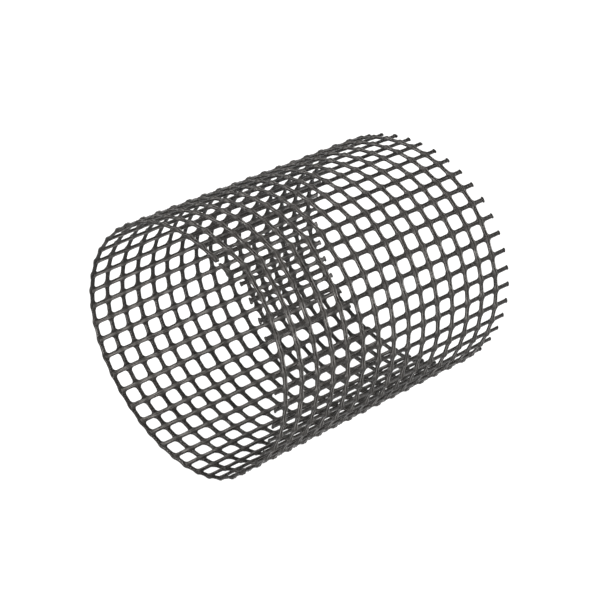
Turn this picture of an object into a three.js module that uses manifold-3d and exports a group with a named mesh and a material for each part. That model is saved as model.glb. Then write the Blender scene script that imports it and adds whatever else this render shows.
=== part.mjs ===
// Tree guard tube: a short, open tube of square-mesh plastic netting, lying on its side.
//
// The net is made of two sets of extruded members that are welded where they cross:
//   strands  straight members along the tube, on the inside
//   hoops    closed members round the tube, on the outside
//
// Millimetres, +Z up. The tube's axis runs along X: the rim end is at -X, and the end where the
// strands stand out as cut stubs is at +X. The origin is under the middle of the tube, on the
// surface that it lies on. Angles round the tube are measured from straight down, and grow
// towards -Y, up that side and over the top.
//
// The soft net doesn't lie as a perfect cylinder: it is sagged, slightly lobed and twisted, as
// settledPoint() says. A hoop is made round and settle() moves its corners to where they lie. A
// strand is a straight bar, and strandPlacement() lays it along its place in the settled net.

import * as THREE from 'three';
import { mergeVertices } from 'three/addons/utils/BufferGeometryUtils.js';
import Module from 'manifold-3d';

const wasm = await Module();
wasm.setup();

// ---- Driving dimensions ----

const STRAND_COUNT = 44; // members round the tube
const CELL_COUNT = 15; // cells along the tube, so there is one more hoop than cells
const CELL_LENGTH = 11.35; // hoop to hoop
const WELD_RADIUS = 73; // the surface where the hoops meet the strands
const WELD_GAP = 0.3; // clearance kept between a hoop and the strands under it
const HOOP_WIDTH = 2.8; // along the tube
const HOOP_THICKNESS = 1.4; // radially
const STRAND_WIDTH = 2.5; // round the tube
const STRAND_THICKNESS = 1.4; // radially
const EDGE_CHAMFER = 0.4; // on the free edges of every member
const STRAND_PHASE = 0.32; // first strand's angle from straight down, in strand pitches

// How the net lies. "Along" is measured from the middle of the net, towards +X.
const SAG = 0.019; // the tube is this fraction wider and lower than a true circle
const SAG_ALONG = 0.00032; // more sag for each millimetre along
const LOBE_HEIGHT = 1.28; // three shallow lobes round the tube
const LEAN_ALONG = -0.0115; // the oval leans over by this much for each millimetre along
const TWIST_ALONG = 0.00022; // radians for each millimetre along
const RESTING_FLAT = 0.4; // the hoops are flattened by this much where they rest

// The strands aren't evenly spaced: each stands off its even place by these waves, in radians.
const DRIFT_COS_1 = 0.006;
const DRIFT_SIN_1 = -0.015;
const DRIFT_SIN_2 = -0.009;
const DRIFT_COS_3 = 0.022;

// The other end was cut unevenly: how far the strands stick out past the middle of the last hoop.
const STUB_MEAN = 6.8;
const STUB_COS_1 = -2.5;
const STUB_SIN_1 = 1.7;
const STUB_COS_2 = -1.7;
const STUB_SIN_2 = 0.6;

// The rim hoop has been cut away over the strands between these two, which end just short of it.
const CUT_FROM_STRAND = 6; // first strand that has lost its hoop
const CUT_TO_STRAND = 18; // last strand that has lost its hoop
const CUT_OVERHANG = 0.2; // hoop left past the last strand it holds, in strand pitches
const CUT_SETBACK = 3.9; // from the rim hoop's middle to the ends of the cut strands
const REMNANT_REACH = 0.6; // scrap of hoop left on the last cut strand, in strand pitches

const NET_COLOUR = 0x4a4744;
const NET_ROUGHNESS = 0.55;

// ---- Derived dimensions ----

const PITCH_ANGLE = (2 * Math.PI) / STRAND_COUNT;
const stubLengths = Array.from({ length: STRAND_COUNT }, (_, index) => {
  const turn = index * PITCH_ANGLE;
  const onceRound = STUB_COS_1 * Math.cos(turn) + STUB_SIN_1 * Math.sin(turn);
  const twiceRound = STUB_COS_2 * Math.cos(2 * turn) + STUB_SIN_2 * Math.sin(2 * turn);
  return STUB_MEAN + onceRound + twiceRound;
});
const LENGTH = HOOP_WIDTH / 2 + CELL_COUNT * CELL_LENGTH + Math.max(...stubLengths);
const STRAND_OUTER = WELD_RADIUS - WELD_GAP / 2;
const STRAND_INNER = STRAND_OUTER - STRAND_THICKNESS;
const HOOP_INNER = WELD_RADIUS + WELD_GAP / 2;
const HOOP_OUTER = HOOP_INNER + HOOP_THICKNESS;
// The hoops are many-sided, with the middles of their flats on the stated radii.
const FLAT_TO_CORNER = 1 / Math.cos(PITCH_ANGLE / 2);
const CUTTER_RADIUS = HOOP_OUTER * 1.5;

const FLOOR_BELOW_WELD = HOOP_OUTER - WELD_RADIUS - RESTING_FLAT;
const WELD_TURN = STRAND_WIDTH / 2 / WELD_RADIUS; // half of a weld's width, in radians

const hoopX = (index) => -LENGTH / 2 + HOOP_WIDTH / 2 + index * CELL_LENGTH;
const NET_MIDDLE = (hoopX(0) + hoopX(CELL_COUNT)) / 2;
const rimEnd = -LENGTH / 2 + EDGE_CHAMFER; // where the whole strands start
const cutEnd = hoopX(0) + CUT_SETBACK; // where the cut strands start
const stubEnd = (index) => hoopX(CELL_COUNT) + stubLengths[index]; // where a strand ends
const strandAngle = (index) => (index + STRAND_PHASE) * PITCH_ANGLE;
const nodeName = (kind, index) => `${kind}_${String(index + 1).padStart(2, '0')}`;

const netMaterial = () =>
  new THREE.MeshStandardMaterial({ color: NET_COLOUR, roughness: NET_ROUGHNESS, metalness: 0 });

// ---- How the net lies ----

// Where a point of the perfect cylinder ends up, over the surface that the tube lies on.
function settledPoint(x, angle, radius) {
  const along = x - NET_MIDDLE;
  const sag = SAG + SAG_ALONG * along;
  const drift =
    DRIFT_COS_1 * Math.cos(angle) +
    DRIFT_SIN_1 * Math.sin(angle) +
    DRIFT_SIN_2 * Math.sin(2 * angle) +
    DRIFT_COS_3 * Math.cos(3 * angle);
  const turned = angle + TWIST_ALONG * along + drift;
  const lobes = LOBE_HEIGHT * Math.sin(3 * angle) + LEAN_ALONG * along * Math.sin(2 * angle);
  const reach = radius + lobes;
  const height = (1 - sag) * (WELD_RADIUS - reach * Math.cos(turned)) + FLOOR_BELOW_WELD;
  return new THREE.Vector3(x, -(1 + sag) * reach * Math.sin(turned), Math.max(height, 0));
}

// Moves every corner of a round hoop to where it lies. The hoop's own x = 0 is at middleX.
function settle(geometry, middleX) {
  const settled = geometry.clone();
  const corners = settled.attributes.position;
  for (let index = 0; index < corners.count; index += 1) {
    const [x, y, z] = [corners.getX(index), corners.getY(index), corners.getZ(index)];
    const point = settledPoint(middleX + x, Math.atan2(-y, -z), Math.hypot(y, z));
    corners.setXYZ(index, x, point.y, point.z);
  }
  settled.computeVertexNormals();
  return settled;
}

// Lays a bar's own x across the strand, its y out of the tube from the weld surface, and its z
// along the strand from startX.
function strandPlacement(angle, startX) {
  const start = settledPoint(startX, angle, WELD_RADIUS);
  const end = settledPoint(LENGTH / 2, angle, WELD_RADIUS);
  const middleX = (startX + LENGTH / 2) / 2;
  const round = settledPoint(middleX, angle + WELD_TURN, WELD_RADIUS);
  round.sub(settledPoint(middleX, angle - WELD_TURN, WELD_RADIUS));
  const outwards = new THREE.Vector3(1, 0, 0).cross(round);
  const along = end.sub(start).normalize();
  const across = new THREE.Vector3().crossVectors(outwards, along).normalize();
  outwards.crossVectors(along, across);
  return new THREE.Matrix4().makeBasis(across, outwards, along).setPosition(start);
}

// ---- Solids ----

function toSolid(geometry) {
  const bare = geometry.clone();
  bare.deleteAttribute('normal');
  bare.deleteAttribute('uv');
  const merged = mergeVertices(bare);
  const vertProperties = new Float32Array(merged.attributes.position.array);
  const triVerts = new Uint32Array(merged.index.array);
  return new wasm.Manifold(new wasm.Mesh({ numProp: 3, vertProperties, triVerts }));
}

function toGeometry(solid) {
  const mesh = solid.getMesh();
  const geometry = new THREE.BufferGeometry();
  geometry.setAttribute('position', new THREE.BufferAttribute(mesh.vertProperties, 3));
  geometry.setIndex(new THREE.BufferAttribute(mesh.triVerts, 1));
  geometry.computeVertexNormals();
  return geometry;
}

// A closed hoop centred on x = 0, flat inside and with chamfered outer edges.
function hoopGeometry() {
  const half = HOOP_WIDTH / 2;
  const inner = HOOP_INNER * FLAT_TO_CORNER;
  const outer = HOOP_OUTER * FLAT_TO_CORNER;
  const profile = [
    new THREE.Vector2(inner, -half),
    new THREE.Vector2(outer - EDGE_CHAMFER, -half),
    new THREE.Vector2(outer, -half + EDGE_CHAMFER),
    new THREE.Vector2(outer, half - EDGE_CHAMFER),
    new THREE.Vector2(outer - EDGE_CHAMFER, half),
    new THREE.Vector2(inner, half),
    new THREE.Vector2(inner, -half),
  ];
  const geometry = new THREE.LatheGeometry(profile, STRAND_COUNT, PITCH_ANGLE / 2);
  geometry.rotateZ(-Math.PI / 2);
  return geometry;
}

// A bar along its own z, with chamfered inner edges. Its y is measured from the weld surface.
function barGeometry(length, outer = STRAND_OUTER - WELD_RADIUS) {
  const half = STRAND_WIDTH / 2;
  const inner = STRAND_INNER - WELD_RADIUS;
  const section = new THREE.Shape([
    new THREE.Vector2(-half, outer),
    new THREE.Vector2(-half, inner + EDGE_CHAMFER),
    new THREE.Vector2(-half + EDGE_CHAMFER, inner),
    new THREE.Vector2(half - EDGE_CHAMFER, inner),
    new THREE.Vector2(half, inner + EDGE_CHAMFER),
    new THREE.Vector2(half, outer),
  ]);
  return new THREE.ExtrudeGeometry(section, { depth: length, bevelEnabled: false });
}

// A wedge of the space round the axis, between two angles that are less than half a turn apart.
function wedgeGeometry(from, to) {
  const corner = (angle, radius) => new THREE.Vector2(-radius * Math.sin(angle), -radius * Math.cos(angle));
  const middle = (from + to) / 2;
  const reach = CUTTER_RADIUS / Math.cos((to - from) / 4);
  const outline = new THREE.Shape([
    new THREE.Vector2(0, 0),
    corner(to, reach),
    corner(middle, reach),
    corner(from, reach),
  ]);
  const geometry = new THREE.ExtrudeGeometry(outline, { depth: 2 * HOOP_WIDTH, bevelEnabled: false });
  geometry.translate(0, 0, -HOOP_WIDTH);
  // The outline's x and y become the tube's y and z, and its depth runs along the tube.
  const across = new THREE.Vector3(0, 1, 0);
  const up = new THREE.Vector3(0, 0, 1);
  const along = new THREE.Vector3(1, 0, 0);
  geometry.applyMatrix4(new THREE.Matrix4().makeBasis(across, up, along));
  return geometry;
}

// The rim hoop, open where it has been cut away.
function rimHoopGeometry() {
  const from = strandAngle(CUT_FROM_STRAND - 1 + CUT_OVERHANG);
  const to = strandAngle(CUT_TO_STRAND + 1 - CUT_OVERHANG);
  return toGeometry(toSolid(hoopGeometry()).subtract(toSolid(wedgeGeometry(from, to))));
}

// The last cut strand, already in its place, with the scrap of rim hoop that is welded to its end.
function strandWithRemnantGeometry() {
  const own = strandAngle(CUT_TO_STRAND);
  const from = own - CUT_OVERHANG * PITCH_ANGLE;
  const to = own + REMNANT_REACH * PITCH_ANGLE;
  const round = toGeometry(toSolid(hoopGeometry()).intersect(toSolid(wedgeGeometry(from, to))));
  const scrap = settle(round, hoopX(0)).translate(hoopX(0), 0, 0);
  const placement = strandPlacement(own, rimEnd);
  const length = stubEnd(CUT_TO_STRAND) - rimEnd;
  const strand = barGeometry(length).applyMatrix4(placement);
  const weldOuter = HOOP_INNER + HOOP_THICKNESS / 2 - WELD_RADIUS;
  const weld = barGeometry(HOOP_WIDTH - 2 * EDGE_CHAMFER, weldOuter).applyMatrix4(placement);
  return toGeometry(toSolid(strand).add(toSolid(weld)).add(toSolid(scrap)));
}

// ---- The net ----

const net = new THREE.Group();

function addMember(name, geometry) {
  const member = new THREE.Mesh(geometry, netMaterial());
  member.name = name;
  net.add(member);
  return member;
}

const fullHoop = hoopGeometry();
for (let index = 0; index <= CELL_COUNT; index += 1) {
  const round = index === 0 ? rimHoopGeometry() : fullHoop;
  const hoop = addMember(nodeName('hoop', index), settle(round, hoopX(index)));
  hoop.position.x = hoopX(index);
}

for (let index = 0; index < STRAND_COUNT; index += 1) {
  const name = nodeName('strand', index);
  if (index === CUT_TO_STRAND) {
    addMember(name, strandWithRemnantGeometry());
  } else {
    const isCut = index >= CUT_FROM_STRAND && index < CUT_TO_STRAND;
    const start = isCut ? cutEnd : rimEnd;
    const strand = addMember(name, barGeometry(stubEnd(index) - start));
    strand.applyMatrix4(strandPlacement(strandAngle(index), start));
  }
}

// The lobes push the net to one side, so it is moved back over the origin.
const extent = new THREE.Box3().setFromObject(net);
net.position.y = -(extent.min.y + extent.max.y) / 2;

const treeGuard = new THREE.Group();
treeGuard.name = 'tree_guard_tube';
treeGuard.add(net);

export default treeGuard;
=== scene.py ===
"""The looks of the tree guard tube: one fine mesh for each hoop and strand of the net."""

import math

import bpy
import numpy as np
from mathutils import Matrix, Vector


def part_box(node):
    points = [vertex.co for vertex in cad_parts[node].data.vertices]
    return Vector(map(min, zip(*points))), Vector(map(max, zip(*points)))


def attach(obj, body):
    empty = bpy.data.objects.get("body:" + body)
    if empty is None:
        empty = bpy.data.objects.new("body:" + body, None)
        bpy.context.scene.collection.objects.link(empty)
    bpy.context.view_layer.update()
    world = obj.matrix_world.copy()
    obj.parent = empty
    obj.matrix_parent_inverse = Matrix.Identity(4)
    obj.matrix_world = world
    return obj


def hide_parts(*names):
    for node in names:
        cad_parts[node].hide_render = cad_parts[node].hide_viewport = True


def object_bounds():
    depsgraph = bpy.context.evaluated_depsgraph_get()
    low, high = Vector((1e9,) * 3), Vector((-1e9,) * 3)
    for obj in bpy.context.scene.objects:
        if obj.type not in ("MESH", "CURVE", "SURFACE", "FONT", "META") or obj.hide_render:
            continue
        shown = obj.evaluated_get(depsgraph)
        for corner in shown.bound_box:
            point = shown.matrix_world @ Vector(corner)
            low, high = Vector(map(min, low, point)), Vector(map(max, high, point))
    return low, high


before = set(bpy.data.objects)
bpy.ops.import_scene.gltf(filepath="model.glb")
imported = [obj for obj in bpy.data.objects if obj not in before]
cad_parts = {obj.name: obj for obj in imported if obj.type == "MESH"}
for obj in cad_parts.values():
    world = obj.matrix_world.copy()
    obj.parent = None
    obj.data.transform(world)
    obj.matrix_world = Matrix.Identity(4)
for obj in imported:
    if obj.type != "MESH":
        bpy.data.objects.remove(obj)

cad_low, cad_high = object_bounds()

MM = 0.001

# ---- Members of the net, in millimetres ----
# Heights are measured outwards from the inner faces of the strands.
STRAND_WIDTH = 2.5
STRAND_INSIDE, STRAND_OUTSIDE = 0.04, 2.15
HOOP_WIDTH = 2.75
HOOP_INSIDE, HOOP_OUTSIDE = 1.0, 3.05
WELD_HEIGHT = 1.4
HOOP_DIPS = (-0.35, -0.9)  # how much a member's low and high side rise between two welds
STRAND_DIPS = (0.2, -0.1)  # a minus sign is a dip
WELD_LENGTH = 1.9  # how far from a weld's middle the dips set in
GROOVE_DEPTH = 1.0  # along the middle of each hoop's outer face
GROOVE_WIDTH = 0.48  # from its middle to its sides
GROOVE_ANGLES = (-0.24, -0.11, 0.11, 0.24)  # radians from the crest to points added for the groove
GROOVE_FADE = 4  # power of the groove's section: higher has steeper sides
GROOVE_AT_WELD = 0.8  # share of its depth that the groove keeps on a weld
FILLET_RADIUS = 2.2  # in the corners of the cells
RIM_WEB = 0.3  # share of the fillet that the rim hoop keeps on its outer side
WEB_HEIGHT = 0.55  # of the web that fills a cell's corner, either side of the weld
WEB_SPREAD = 0.5  # power of the web's reach across a section: smaller starts nearer its middle
SQUARENESS = 0.78  # of a section: 1 is an oval, smaller is squarer
SECTION_POINTS = 16  # round a section, without the groove's
# Stations from one weld to the next, as shares of the cell, closest together in the fillets.
STATIONS = (0.0, 0.07, 0.13, 0.17, 0.22, 0.29, 0.38, 0.5, 0.62, 0.71, 0.78, 0.83, 0.87, 0.93)

# ---- Unevenness, in millimetres unless said ----
SEED = 20
HOOP_WANDER = 0.16  # usual distance of a weld from the hoop's plane
STRAND_WANDER = 0.14  # and from the strand's straight line
WANDER_OWN = 1.6  # weight of a weld's own offset, where each neighbour's is 1
WANDER_SCALE = 2.2  # brings the weighted sum back to the usual size
WANDER_LIMIT = 2.2  # times the usual size
RIM_WANDER = 0.4  # share that the rim hoop keeps, always towards the net
WIDTH_VARIATION = 0.05  # fraction
CREST_VARIATION = 0.05
VARIATION_LIMIT = 1.8  # in standard deviations, for both
CREST_LIMIT = 1.0  # the same, where the variation would raise the crest
CUT_SLANT = 0.22  # slope of a cut end
CUT_INSET = 0.25  # from the CAD solid's end to the middle of the slanted cut
TIP_FLARE = 0.32  # fraction by which a sheared end is spread
TIP_FLARE_RANGE = (0.3, 1.6)  # shares of it, drawn for each strand
TIP_LENGTH = 0.9
HEAD_REACH = 0.5  # how far the stubs of the rim hoop stand out on each side of a cut strand
HEAD_REACH_RANGE = (0.4, 1.2)  # shares of it, drawn for each side
TORN_END = 0.55  # how small a torn hoop's end is
DIE_LINE_STRETCH = 0.07  # how fast the die lines change along a member, where across it is 1
LINES_APART = 9.7  # from one member to the next in the lines' noise, so that no two look alike

# ---- Rings near a member's ends ----
END_GAP = 0.02  # share of a cell that the stations of a cut hoop keep from its ends
END_RING = 0.03  # share of a cell from a strand's end to the ring behind it
NECK = 1.4  # tip lengths from a cut strand's end to the neck behind its head
CLEAR_OF_START, CLEAR_OF_END = 1.6, 1.2  # tip lengths that a strand's stations keep from its ends
HEAD_RINGS = (0, 1, 2)  # from a cut strand's end to its head's back
FLARED_RINGS = (-1, -2)  # at a strand's free end

# ---- Finish of the plastic, in linear colour ----
PLASTIC_DARK = (0.004, 0.0037, 0.0034, 1)  # this and the next alternate in soft clouds
PLASTIC_LIGHT = (0.011, 0.010, 0.009, 1)
# Pale colour on the crests: partly rubbed wear, partly a painted highlight.
PLASTIC_RUBBED_AND_HIGHLIGHT = (0.115, 0.112, 0.109, 1)
RUBBED_AND_HIGHLIGHT_CREST = (0.6, 0.9)  # shares of the crest where the rubbing and the painted highlight start and are full
RUBBED_AND_HIGHLIGHT_LINES = (0.4, 0.58)  # and the same for the noise that breaks it up into lines
RUBBED_AND_HIGHLIGHT_ON_WELD = 0.35  # how much of it is left on the welds
ROUGHNESS_LOW, ROUGHNESS_HIGH = 0.18, 0.35
WELD_ROUGHER = 0.3  # the welds are rougher by this
PLASTIC_IOR = 1.37
# Scale, detail and roughness of each noise. The lines' scale is per millimetre across a member,
# and the others' per metre.
CLOUD_NOISE = (70, 4, 0.5)
LUMP_NOISE = (480, 3, 0.55)
GRAIN_NOISE = (2600, 4, 0.6)
LINE_NOISE = (2.2, 4, 0.6)
NOISE_SPAN = (0.3, 0.7)  # the values that nearly all of a noise lies between
LUMP_BUMP, LINE_BUMP, GRAIN_BUMP = 0.0004, 0.00022, 0.00004  # metres
GRAIN_STRENGTH = 0.4

rng = np.random.default_rng(SEED)

# ---- The tube, read from the frame ----
HOOPS = sorted(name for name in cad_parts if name.startswith("hoop_"))
STRANDS = sorted(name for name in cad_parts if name.startswith("strand_"))
AROUND = len(STRANDS)
SCRAP_LEAST = 0.5  # a strand that reaches more strand spacings than this has a scrap of hoop
END_FACE_DEPTH = 0.1  # millimetres, within which a strand's end face lies


def corners_of(name):
    """A CAD node's vertices, in millimetres."""
    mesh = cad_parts[name].data
    flat = np.empty(len(mesh.vertices) * 3)
    mesh.vertices.foreach_get("co", flat)
    return flat.reshape(-1, 3) / MM


def inner_face_end(name, side):
    """The middle of a strand's inner face at its end towards -X (side -1) or +X (side 1)."""
    corners = corners_of(name)
    extreme = (corners[:, 0] * side).max()
    at_end = corners[np.abs(corners[:, 0] * side - extreme) < END_FACE_DEPTH]
    from_axis = np.hypot(at_end[:, 1] - AXIS_Y, at_end[:, 2] - AXIS_Z)
    return at_end[np.argsort(from_axis)[:2]].mean(0)


hoop_low, hoop_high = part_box(HOOPS[1])
AXIS_Y, AXIS_Z = (hoop_low.y + hoop_high.y) / 2 / MM, (hoop_low.z + hoop_high.z) / 2 / MM
HOOP_X = np.array([(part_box(name)[0].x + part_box(name)[1].x) / 2 / MM for name in HOOPS])
CELL_LENGTH = HOOP_X[1] - HOOP_X[0]
LAST_HOOP = len(HOOPS) - 1

STRAND_STARTS = np.array([inner_face_end(name, -1) for name in STRANDS])
STRAND_ENDS = np.array([inner_face_end(name, 1) for name in STRANDS])
STRAND_SLOPES = (STRAND_ENDS - STRAND_STARTS) / (STRAND_ENDS - STRAND_STARTS)[:, :1]


def strand_line(number, x):
    """The middle of the inner face of strand number (an array of whole numbers) at x."""
    number = np.mod(number, AROUND)
    return STRAND_STARTS[number] + STRAND_SLOPES[number] * (x - STRAND_STARTS[number, 0])[:, None]


def interpolated(values, at):
    """A smooth cubic through values(whole numbers), at fractional numbers, and its slope there."""
    whole = np.floor(at).astype(int)
    share = (at - whole).reshape((-1,) + (1,) * (values(whole).ndim - 1))
    before, here, after, beyond = (values(whole + k) for k in (-1, 0, 1, 2))
    bend, bend_next, rest = (after - before) / 2, (beyond - here) / 2, after - here
    square, cube = 3 * rest - 2 * bend - bend_next, bend + bend_next - 2 * rest
    value = here + bend * share + square * share**2 + cube * share**3
    return value, bend + 2 * square * share + 3 * cube * share**2


def unit(vectors):
    """The vectors, each made 1 long."""
    return vectors / np.linalg.norm(vectors, axis=-1, keepdims=True)


def place(x, strand, height):
    """Metres, for a place along the tube, a strand number and a height, all arrays of one shape."""
    shape = np.shape(x)
    x, strand, height = (np.ravel(part) for part in (x, strand, height))
    inner, round_the_tube = interpolated(lambda number: strand_line(number, x), strand)
    below, above = np.floor(strand).astype(int), np.floor(strand).astype(int) + 1
    share = (strand - below)[:, None]
    along = STRAND_SLOPES[below % AROUND] * (1 - share) + STRAND_SLOPES[above % AROUND] * share
    outwards = unit(np.cross(along, round_the_tube))
    points = inner + outwards * height[:, None]
    points[:, 2] = np.maximum(points[:, 2], 0)  # the lowest members lie flat on the ground
    return (points * MM).reshape(shape + (3,))


def strand_spacing(x, strand):
    """Millimetres from one strand to the next, near a strand number."""
    _, round_the_tube = interpolated(lambda number: strand_line(number, x), strand)
    return np.linalg.norm(round_the_tube, axis=1)


def strand_numbers_of(points, hoop):
    """The strand numbers, from 0 to AROUND, that points in a hoop's plane stand at."""

    def angle(places):
        return np.arctan2(-(places[:, 1] - AXIS_Y), AXIS_Z - places[:, 2])

    line = strand_line(np.arange(AROUND + 1), np.full(AROUND + 1, HOOP_X[hoop]))
    known = np.unwrap(angle(line))
    asked = known[0] + np.mod(angle(points) - known[0], 2 * math.pi)
    return np.interp(asked, known, np.arange(AROUND + 1))


# ---- Where the members cross ----


def wander(rows, columns, size):
    """A smooth random offset for each weld along each member, about size millimetres."""
    raw = rng.normal(size=(rows, columns))
    smooth = (np.roll(raw, 1, 1) + WANDER_OWN * raw + np.roll(raw, -1, 1)) / WANDER_SCALE
    return np.clip(size * smooth, -WANDER_LIMIT * size, WANDER_LIMIT * size)


HOOP_SHIFT = wander(len(HOOPS), AROUND, HOOP_WANDER)
STRAND_SHIFT = wander(AROUND, len(HOOPS), STRAND_WANDER)
HOOP_SHIFT[0] = RIM_WANDER * np.abs(HOOP_SHIFT[0])
# For the hoops, then for the strands, at each weld.
WIDTH_NOISE = np.clip(rng.normal(size=(2, len(HOOPS), AROUND)), -VARIATION_LIMIT, VARIATION_LIMIT)
CREST_NOISE = np.clip(rng.normal(size=(2, len(HOOPS), AROUND)), -VARIATION_LIMIT, CREST_LIMIT)


def along_hoop(table, hoop, at):
    """A hoop's row of a table of welds, read at fractional strand numbers."""
    return interpolated(lambda number: table[hoop, number % AROUND], at)[0]


def along_strand(table, strand, at):
    """A strand's column of a table of welds, read at fractional hoop numbers."""
    return interpolated(lambda number: table[np.clip(number, 0, LAST_HOOP), strand], at)[0]


# ---- Sections ----


def fillet(distance):
    """How far the corner fillet stands out at a distance from the crossing member's side."""
    gap = np.clip(FILLET_RADIUS - np.maximum(distance, 0), 0, FILLET_RADIUS)
    return FILLET_RADIUS - np.sqrt(FILLET_RADIUS**2 - gap**2)


def sections(width, low, high, crest, dips, to_weld, crossing_width, groove):
    """The outline at each station: offset across, height, and shares of the crest and the weld.

    Each is [station, point]. crest is 1 if the member's crest is its high side and -1 if it is its
    low side. dips is how much its low and its high side rise between two welds."""
    turn = np.arange(SECTION_POINTS) * 2 * math.pi / SECTION_POINTS
    beside = crest * math.pi / 2 + np.array(GROOVE_ANGLES)
    turn = np.sort(np.concatenate([turn, beside % (2 * math.pi)]))
    strand_back = (crest < 0) & (np.sin(turn) > 0)  # the outer side of a strand is a plain oval
    power = np.where(strand_back, 1.0, SQUARENESS)
    side = np.sign(np.cos(turn)) * np.abs(np.cos(turn)) ** power
    rise = np.sign(np.sin(turn)) * np.abs(np.sin(turn)) ** power
    between = 1 - np.exp(-((to_weld / WELD_LENGTH) ** 2))
    low, high = low + dips[0] * between, high + dips[1] * between
    height = ((low + high) / 2)[:, None] + ((high - low) / 2)[:, None] * rise
    across = width[:, None] / 2 * side
    web = np.exp(-(((height - WELD_HEIGHT) / WEB_HEIGHT) ** 2)) * np.abs(side) ** WEB_SPREAD
    reach = fillet(to_weld - crossing_width / 2)
    across = across + np.sign(side) * reach[:, None] * web
    hollow = np.exp(-((across / GROOVE_WIDTH) ** GROOVE_FADE)) * np.clip(crest * rise, 0, 1)
    hollow = hollow * (GROOVE_AT_WELD + (1 - GROOVE_AT_WELD) * between)[:, None]
    # The groove is left out of the crest's share, so the pale crest colour spares it: painted shade
    # along the groove's bottom.
    on_crest = np.clip(crest * rise, 0, 1) * (1 - hollow * (groove > 0))
    on_weld = (1 - between)[:, None] * np.ones_like(height)
    return across, height - crest * groove * hollow, np.stack([on_crest, on_weld])


# ---- Meshes ----


def shell(points, shares, closed):
    """A tube of quads through rings of points [station, point, xyz], with its open ends capped.

    Gives its vertices, its faces, and for each vertex its shares of the crest and of a weld, the
    distance along the member and the distance round its section, in millimetres."""
    stations, count, _ = points.shape
    vertices, shares = points.reshape(-1, 3), shares.reshape(2, -1)
    steps = np.linalg.norm(np.diff(points.mean(1), axis=0), axis=1) / MM
    along = np.repeat(np.concatenate([[0], np.cumsum(steps)]), count)
    edges = np.linalg.norm(np.diff(points, axis=1), axis=2).mean(0) / MM
    around = np.tile(np.concatenate([[0], np.cumsum(edges)]), stations)
    first = np.arange(stations if closed else stations - 1)[:, None] * count
    then = (first + count) % (stations * count)
    column = np.arange(count)
    after = (column + 1) % count
    faces = np.stack([first + column, first + after, then + after, then + column], -1)
    faces = faces.reshape(-1, 4).tolist()
    if not closed:
        start, end, tail = stations * count, stations * count + 1, (stations - 1) * count
        vertices = np.concatenate([vertices, [points[0].mean(0), points[-1].mean(0)]])
        shares = np.concatenate([shares, np.zeros((2, 2))], axis=1)
        around = np.append(around, [0, 0])
        along = np.append(along, [0, along[-1]])
        faces += [(int(b), int(a), start) for a, b in zip(column, after)]
        faces += [(int(tail + a), int(tail + b), end) for a, b in zip(column, after)]
    return vertices, faces, *shares, along, around


def make_mesh(name, number, *shells):
    """One mesh of closed shells, with the attributes that the material reads.

    number is the member's place in the whole net, which sets its die lines apart."""
    vertices = np.concatenate([part[0] for part in shells])
    starts = np.cumsum([0] + [len(part[0]) for part in shells])
    faces = [[v + start for v in face] for part, start in zip(shells, starts) for face in part[1]]
    crest, weld, along, around = (np.concatenate([part[k] for part in shells]) for k in (2, 3, 4, 5))
    mesh = bpy.data.meshes.new(name)
    mesh.from_pydata(vertices.tolist(), [], faces)
    mesh.attributes.new("crest", "FLOAT", "POINT").data.foreach_set("value", crest)
    mesh.attributes.new("weld", "FLOAT", "POINT").data.foreach_set("value", weld)
    apart = np.full_like(along, LINES_APART * number)
    lines = np.stack([along * DIE_LINE_STRETCH, around, apart], -1)
    mesh.attributes.new("lines", "FLOAT_VECTOR", "POINT").data.foreach_set("vector", lines.ravel())
    mesh.shade_smooth()
    mesh.validate()
    return mesh


def outward(mesh):
    """Turns the faces outwards if the mesh's signed volume says that they face in."""
    mesh.calc_loop_triangles()
    corners = np.empty(len(mesh.vertices) * 3)
    mesh.vertices.foreach_get("co", corners)
    corners = corners.reshape(-1, 3)
    triangles = np.empty(len(mesh.loop_triangles) * 3, dtype=int)
    mesh.loop_triangles.foreach_get("vertices", triangles)
    a, b, c = (corners[triangles[k::3]] for k in range(3))
    if np.einsum("ij,ij->i", a, np.cross(b, c)).sum() < 0:
        mesh.flip_normals()


def add_piece(node, mesh, material):
    """Puts a mesh in the scene, in the place of a CAD node."""
    outward(mesh)
    mesh.materials.append(material)
    piece = bpy.data.objects.new(f"net_{node}", mesh)
    bpy.context.scene.collection.objects.link(piece)
    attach(piece, "root")
    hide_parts(node)


def hoop_shell(hoop, start=None, end=None):
    """A hoop, closed, or from one strand number to another."""
    closed = start is None
    if closed:
        at = np.array([s + f for s in range(AROUND) for f in STATIONS])
    else:
        whole = range(math.floor(start), math.ceil(end) + 1)
        inside = [s + f for s in whole for f in STATIONS]
        inside = [a for a in inside if start + END_GAP < a < end - END_GAP]
        at = np.array([start, *inside, end])
    x = HOOP_X[hoop] + along_hoop(HOOP_SHIFT, hoop, at)
    nearest = np.round(at).astype(int)
    spacing = strand_spacing(x, at)
    weld = nearest + STRAND_SHIFT[nearest % AROUND, hoop] / spacing
    to_weld = np.abs(at - weld) * spacing
    width = HOOP_WIDTH * (1 + WIDTH_VARIATION * along_hoop(WIDTH_NOISE[0], hoop, at))
    raised = along_hoop(CREST_NOISE[0], hoop, at) - CREST_LIMIT
    top = HOOP_OUTSIDE + CREST_VARIATION * raised
    low = np.full_like(at, HOOP_INSIDE)
    across, height, shares = sections(
        width, low, top, 1, HOOP_DIPS, to_weld, STRAND_WIDTH, GROOVE_DEPTH
    )
    if hoop == 0:
        edge = -width[:, None] / 2
        across = np.where(across < edge, edge + (across - edge) * RIM_WEB, across)
    if not closed:
        taper_ends(across, height)
    return shell(place(x[:, None] + across, at[:, None] + 0 * across, height), shares, closed)


def taper_ends(across, height):
    """Rounds off the torn ends of a hoop."""
    for row in (0, -1):
        middle = height[row].mean()
        across[row] *= TORN_END
        height[row] = middle + (height[row] - middle) * TORN_END


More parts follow.
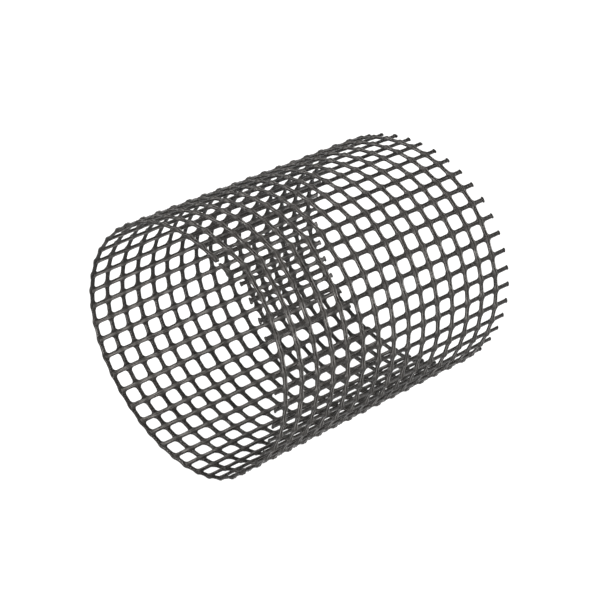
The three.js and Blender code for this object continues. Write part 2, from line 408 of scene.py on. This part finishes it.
def strand_shell(strand, start, end):
    """A strand from x = start to x = end, with sheared ends."""
    first, last = (start - HOOP_X[0]) / CELL_LENGTH, (end - HOOP_X[0]) / CELL_LENGTH
    inside = [i + f for i in range(-1, len(HOOPS) + 1) for f in STATIONS]
    tip = TIP_LENGTH / CELL_LENGTH
    tips = [first, first + END_RING, first + tip, first + NECK * tip]
    tips += [last - tip, last - END_RING, last]
    inside = [a for a in inside if first + CLEAR_OF_START * tip < a < last - CLEAR_OF_END * tip]
    at = np.array(sorted(inside + tips))
    x = HOOP_X[0] + at * CELL_LENGTH
    spacing = strand_spacing(x, np.full_like(at, strand))
    number = strand + along_strand(STRAND_SHIFT.T, strand, at) / spacing
    nearest = np.clip(np.round(at).astype(int), 0, LAST_HOOP)
    to_weld = np.abs(x - HOOP_X[nearest] - HOOP_SHIFT[nearest, strand])
    width = STRAND_WIDTH * (1 + WIDTH_VARIATION * along_strand(WIDTH_NOISE[1], strand, at))
    raised = along_strand(CREST_NOISE[1], strand, at) - CREST_LIMIT
    low = STRAND_INSIDE - CREST_VARIATION * raised
    high = np.full_like(at, STRAND_OUTSIDE)
    across, height, shares = sections(
        width, low, high, -1, STRAND_DIPS, to_weld, HOOP_WIDTH, 0.0
    )
    spread_tip(across, height)
    if start > HOOP_X[0]:
        hammer_head(across)
    along = x[:, None] + 0 * across
    slope = rng.uniform(-CUT_SLANT, CUT_SLANT, size=2)
    along[0] += slope[0] * across[0] + CUT_INSET
    along[-1] += slope[1] * across[-1] - CUT_INSET
    number = number[:, None] + across / spacing[:, None]
    return shell(place(along, number, height), shares, False)


def hammer_head(across):
    """Leaves a stub of the rim hoop on each side of a cut strand's end."""
    reach = HEAD_REACH * rng.uniform(*HEAD_REACH_RANGE, size=2)
    for row in HEAD_RINGS:
        sides = np.where(across[row] > 0, reach[0], reach[1])
        across[row] += np.sign(across[row]) * sides * np.abs(across[row]) / (STRAND_WIDTH / 2)


def spread_tip(across, height):
    """Spreads the free end of a strand, where the blade sheared it."""
    flare = TIP_FLARE * rng.uniform(*TIP_FLARE_RANGE)
    middle = height[-1].mean()
    for row in FLARED_RINGS:
        across[row] *= 1 + flare
        height[row] = middle + (height[row] - middle) * (1 + flare / 2)


# ---- Material ----


def linked(tree, kind, inputs=None, **settings):
    """A new node. inputs maps a socket's name or number to a value or to another node's output."""
    made = tree.nodes.new(kind)
    for key, value in settings.items():
        setattr(made, key, value)
    for key, value in (inputs or {}).items():
        if isinstance(value, bpy.types.NodeSocket):
            tree.links.new(value, made.inputs[key])
        else:
            made.inputs[key].default_value = value
    return made


def net_plastic():
    """Black extruded polyethylene: satin, with die lines, soft lumps and pale crests, partly rubbed
    wear and partly a painted highlight.
    """
    material = bpy.data.materials.new("net_plastic")
    material.use_nodes = True
    tree = material.node_tree
    tree.nodes.clear()
    spot = linked(tree, "ShaderNodeTexCoord").outputs["Object"]
    member = linked(tree, "ShaderNodeAttribute", attribute_name="lines").outputs["Vector"]
    crest = linked(tree, "ShaderNodeAttribute", attribute_name="crest").outputs["Fac"]
    weld = linked(tree, "ShaderNodeAttribute", attribute_name="weld").outputs["Fac"]

    def noise(at, scale, detail, roughness):
        inputs = {"Vector": at, "Scale": scale, "Detail": detail, "Roughness": roughness}
        return linked(tree, "ShaderNodeTexNoise", inputs).outputs["Fac"]

    def mapped(value, low, high, to_low, to_high):
        inputs = {"Value": value, 1: low, 2: high, 3: to_low, 4: to_high}
        return linked(tree, "ShaderNodeMapRange", inputs).outputs["Result"]

    def combined(operation, one, other):
        inputs = {0: one, 1: other}
        return linked(tree, "ShaderNodeMath", inputs, operation=operation).outputs["Value"]

    def bump(height, strength, distance, below=None):
        inputs = {"Height": height, "Strength": strength, "Distance": distance}
        if below:
            inputs["Normal"] = below
        return linked(tree, "ShaderNodeBump", inputs).outputs["Normal"]

    cloud = noise(spot, *CLOUD_NOISE)
    lumps = noise(spot, *LUMP_NOISE)
    grain = noise(spot, *GRAIN_NOISE)
    lines = noise(member, *LINE_NOISE)

    clouded = mapped(cloud, *NOISE_SPAN, 0, 1)
    shade = linked(tree, "ShaderNodeMix", {"Factor": clouded}, data_type="RGBA")
    shade.inputs["A"].default_value = PLASTIC_DARK
    shade.inputs["B"].default_value = PLASTIC_LIGHT
    # Painted highlight and rubbed wear: the pale colour on the crests, broken into lines and weaker
    # on the welds.
    on_crest = mapped(crest, *RUBBED_AND_HIGHLIGHT_CREST, 0, 1)
    rubbed_and_highlight = combined("MULTIPLY", on_crest, mapped(lines, *RUBBED_AND_HIGHLIGHT_LINES, 0, 1))
    rubbed_and_highlight = combined("MULTIPLY", rubbed_and_highlight, mapped(weld, 0, 1, 1, RUBBED_AND_HIGHLIGHT_ON_WELD))
    colour = linked(tree, "ShaderNodeMix", {"Factor": rubbed_and_highlight}, data_type="RGBA")
    tree.links.new(shade.outputs["Result"], colour.inputs["A"])
    colour.inputs["B"].default_value = PLASTIC_RUBBED_AND_HIGHLIGHT

    normal = bump(lumps, 1.0, LUMP_BUMP)
    normal = bump(lines, 1.0, LINE_BUMP, normal)
    normal = bump(grain, GRAIN_STRENGTH, GRAIN_BUMP, normal)
    roughness = mapped(lines, *NOISE_SPAN, ROUGHNESS_LOW, ROUGHNESS_HIGH)
    inputs = {
        "Base Color": colour.outputs["Result"],
        "Roughness": combined("ADD", roughness, mapped(weld, 0, 1, 0, WELD_ROUGHER)),
        "IOR": PLASTIC_IOR,
        "Normal": normal,
    }
    shader = linked(tree, "ShaderNodeBsdfPrincipled", inputs)
    linked(tree, "ShaderNodeOutputMaterial", {"Surface": shader.outputs["BSDF"]})
    return material


# ---- The net ----


def rim_arc():
    """The strand numbers where the rim hoop starts and ends, from its CAD solid."""
    numbers = np.sort(strand_numbers_of(corners_of(HOOPS[0]), 0))
    gap = np.argmax(np.diff(numbers))
    return numbers[gap + 1], numbers[gap] + AROUND


def scrap_arc(name):
    """The strand numbers that a strand's scrap of rim hoop reaches, or None if it has none."""
    corners = corners_of(name)
    numbers = strand_numbers_of(corners[corners[:, 0] < HOOP_X[0]], 0)
    has_scrap = len(numbers) and np.ptp(numbers) > SCRAP_LEAST and np.ptp(numbers) < AROUND / 2
    return (numbers.min(), numbers.max()) if has_scrap else None


plastic = net_plastic()

for hoop, name in enumerate(HOOPS):
    span = rim_arc() if hoop == 0 else (None, None)
    add_piece(name, make_mesh(name, hoop, hoop_shell(hoop, *span)), plastic)

for strand, name in enumerate(STRANDS):
    low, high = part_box(name)
    shells = [strand_shell(strand, low.x / MM, high.x / MM)]
    scrap = scrap_arc(name)
    if scrap:
        shells.append(hoop_shell(0, *scrap))
    add_piece(name, make_mesh(name, len(HOOPS) + strand, *shells), plastic)

# ---- Floor, light and camera, in metres ----

HORIZON_LIGHT, ZENITH_LIGHT = 0.05, 0.45  # of the dim room
BACKDROP_LIGHT = 1.0  # the room is white round the floor, up to these heights of a unit sight line
BACKDROP_TOP, BACKDROP_FADED = 0.1, 0.16
WARM = (1, 0.965, 0.93)
LAMPS = {  # position from the tube's centre, side of the square lamp, watts
    "key": ((-0.15, 0.6, 1.15), 0.5, 23.0),
    "front": ((-0.6, -0.9, 0.12), 0.5, 23.0),
    "right": ((0.9, -0.5, 0.6), 0.3, 5.0),
    "left": ((-0.9, -0.1, 0.8), 0.3, 7.0),
}
FLOOR_ALBEDO, FLOOR_GLOW = 0.1, 1.0  # the floor is a light table
FLOOR_ROUGHNESS, FLOOR_SPECULAR = 0.9, 0.1
FLOOR_HALF = 8.0  # from the middle to an edge, so that low views don't see past it
FLOOR_DROP = 0.0003  # below the tube, whose flats would coincide with it
CAMERA_AZIMUTH, CAMERA_ELEVATION = 43.66, 29.93  # degrees from -Y towards -X, and above level
CAMERA_DISTANCE = 1.600
CAMERA_TARGET = (0.00149, 0, 0.0687)
SENSOR_WIDTH, LENS = 36.0, 170.7  # millimetres


def soft_light(name, place_at, target, size, power):
    """A square lamp that faces the target."""
    data = bpy.data.lights.new(name, "AREA")
    data.shape = "SQUARE"
    data.size = size
    data.energy = power
    data.color = WARM
    lamp = bpy.data.objects.new(name, data)
    lamp.location = place_at
    lamp.rotation_euler = (Vector(target) - Vector(place_at)).to_track_quat("-Z", "Y").to_euler()
    bpy.context.scene.collection.objects.link(lamp)


def pale_floor():
    """A white light table, a hair below the tube."""
    mesh = bpy.data.meshes.new("floor")
    corners = [(x * FLOOR_HALF, y * FLOOR_HALF, 0) for x, y in ((-1, -1), (1, -1), (1, 1), (-1, 1))]
    mesh.from_pydata(corners, [], [(0, 1, 2, 3)])
    material = bpy.data.materials.new("floor_white")
    material.use_nodes = True
    shader = material.node_tree.nodes["Principled BSDF"]
    shader.inputs["Base Color"].default_value = (FLOOR_ALBEDO, FLOOR_ALBEDO, FLOOR_ALBEDO, 1)
    shader.inputs["Emission Color"].default_value = (1, 1, 1, 1)
    shader.inputs["Emission Strength"].default_value = FLOOR_GLOW
    shader.inputs["Roughness"].default_value = FLOOR_ROUGHNESS
    shader.inputs["Specular IOR Level"].default_value = FLOOR_SPECULAR
    mesh.materials.append(material)
    floor = bpy.data.objects.new("floor", mesh)
    floor.location.z = -FLOOR_DROP
    bpy.context.scene.collection.objects.link(floor)


def studio():
    """A dim room with a white backdrop all round, and soft lights on the tube."""
    world = bpy.data.worlds.new("studio")
    world.use_nodes = True
    tree = world.node_tree
    sight = linked(tree, "ShaderNodeTexCoord").outputs["Generated"]
    height = linked(tree, "ShaderNodeSeparateXYZ", {0: sight}).outputs["Z"]

    def from_height(low, high, light_low, light_high):
        inputs = {"Value": height, 1: low, 2: high, 3: light_low, 4: light_high}
        return linked(tree, "ShaderNodeMapRange", inputs).outputs["Result"]

    room = from_height(0, 1, HORIZON_LIGHT, ZENITH_LIGHT)
    backdrop = from_height(BACKDROP_TOP, BACKDROP_FADED, BACKDROP_LIGHT, 0)
    strength = linked(tree, "ShaderNodeMath", {0: room, 1: backdrop}, operation="MAXIMUM")
    background = tree.nodes["Background"]
    background.inputs["Color"].default_value = (1, 1, 1, 1)
    tree.links.new(strength.outputs["Value"], background.inputs["Strength"])
    bpy.context.scene.world = world
    bpy.context.scene.view_settings.view_transform = "Standard"
    centre = (cad_low + cad_high) / 2
    for name, (offset, size, power) in LAMPS.items():
        soft_light(name, centre + Vector(offset), centre, size, power)


def camera():
    """A long lens that looks down on the tube from the side of its rim end."""
    azimuth, elevation = math.radians(CAMERA_AZIMUTH), math.radians(CAMERA_ELEVATION)
    level = math.cos(elevation)
    back = Vector((-math.sin(azimuth) * level, -math.cos(azimuth) * level, math.sin(elevation)))
    data = bpy.data.cameras.new("camera")
    data.sensor_width = SENSOR_WIDTH
    data.lens = LENS
    eye = bpy.data.objects.new("camera", data)
    eye.location = Vector(CAMERA_TARGET) + back * CAMERA_DISTANCE
    eye.rotation_euler = (-back).to_track_quat("-Z", "Y").to_euler()
    bpy.context.scene.collection.objects.link(eye)
    bpy.context.scene.camera = eye


pale_floor()
studio()
camera()
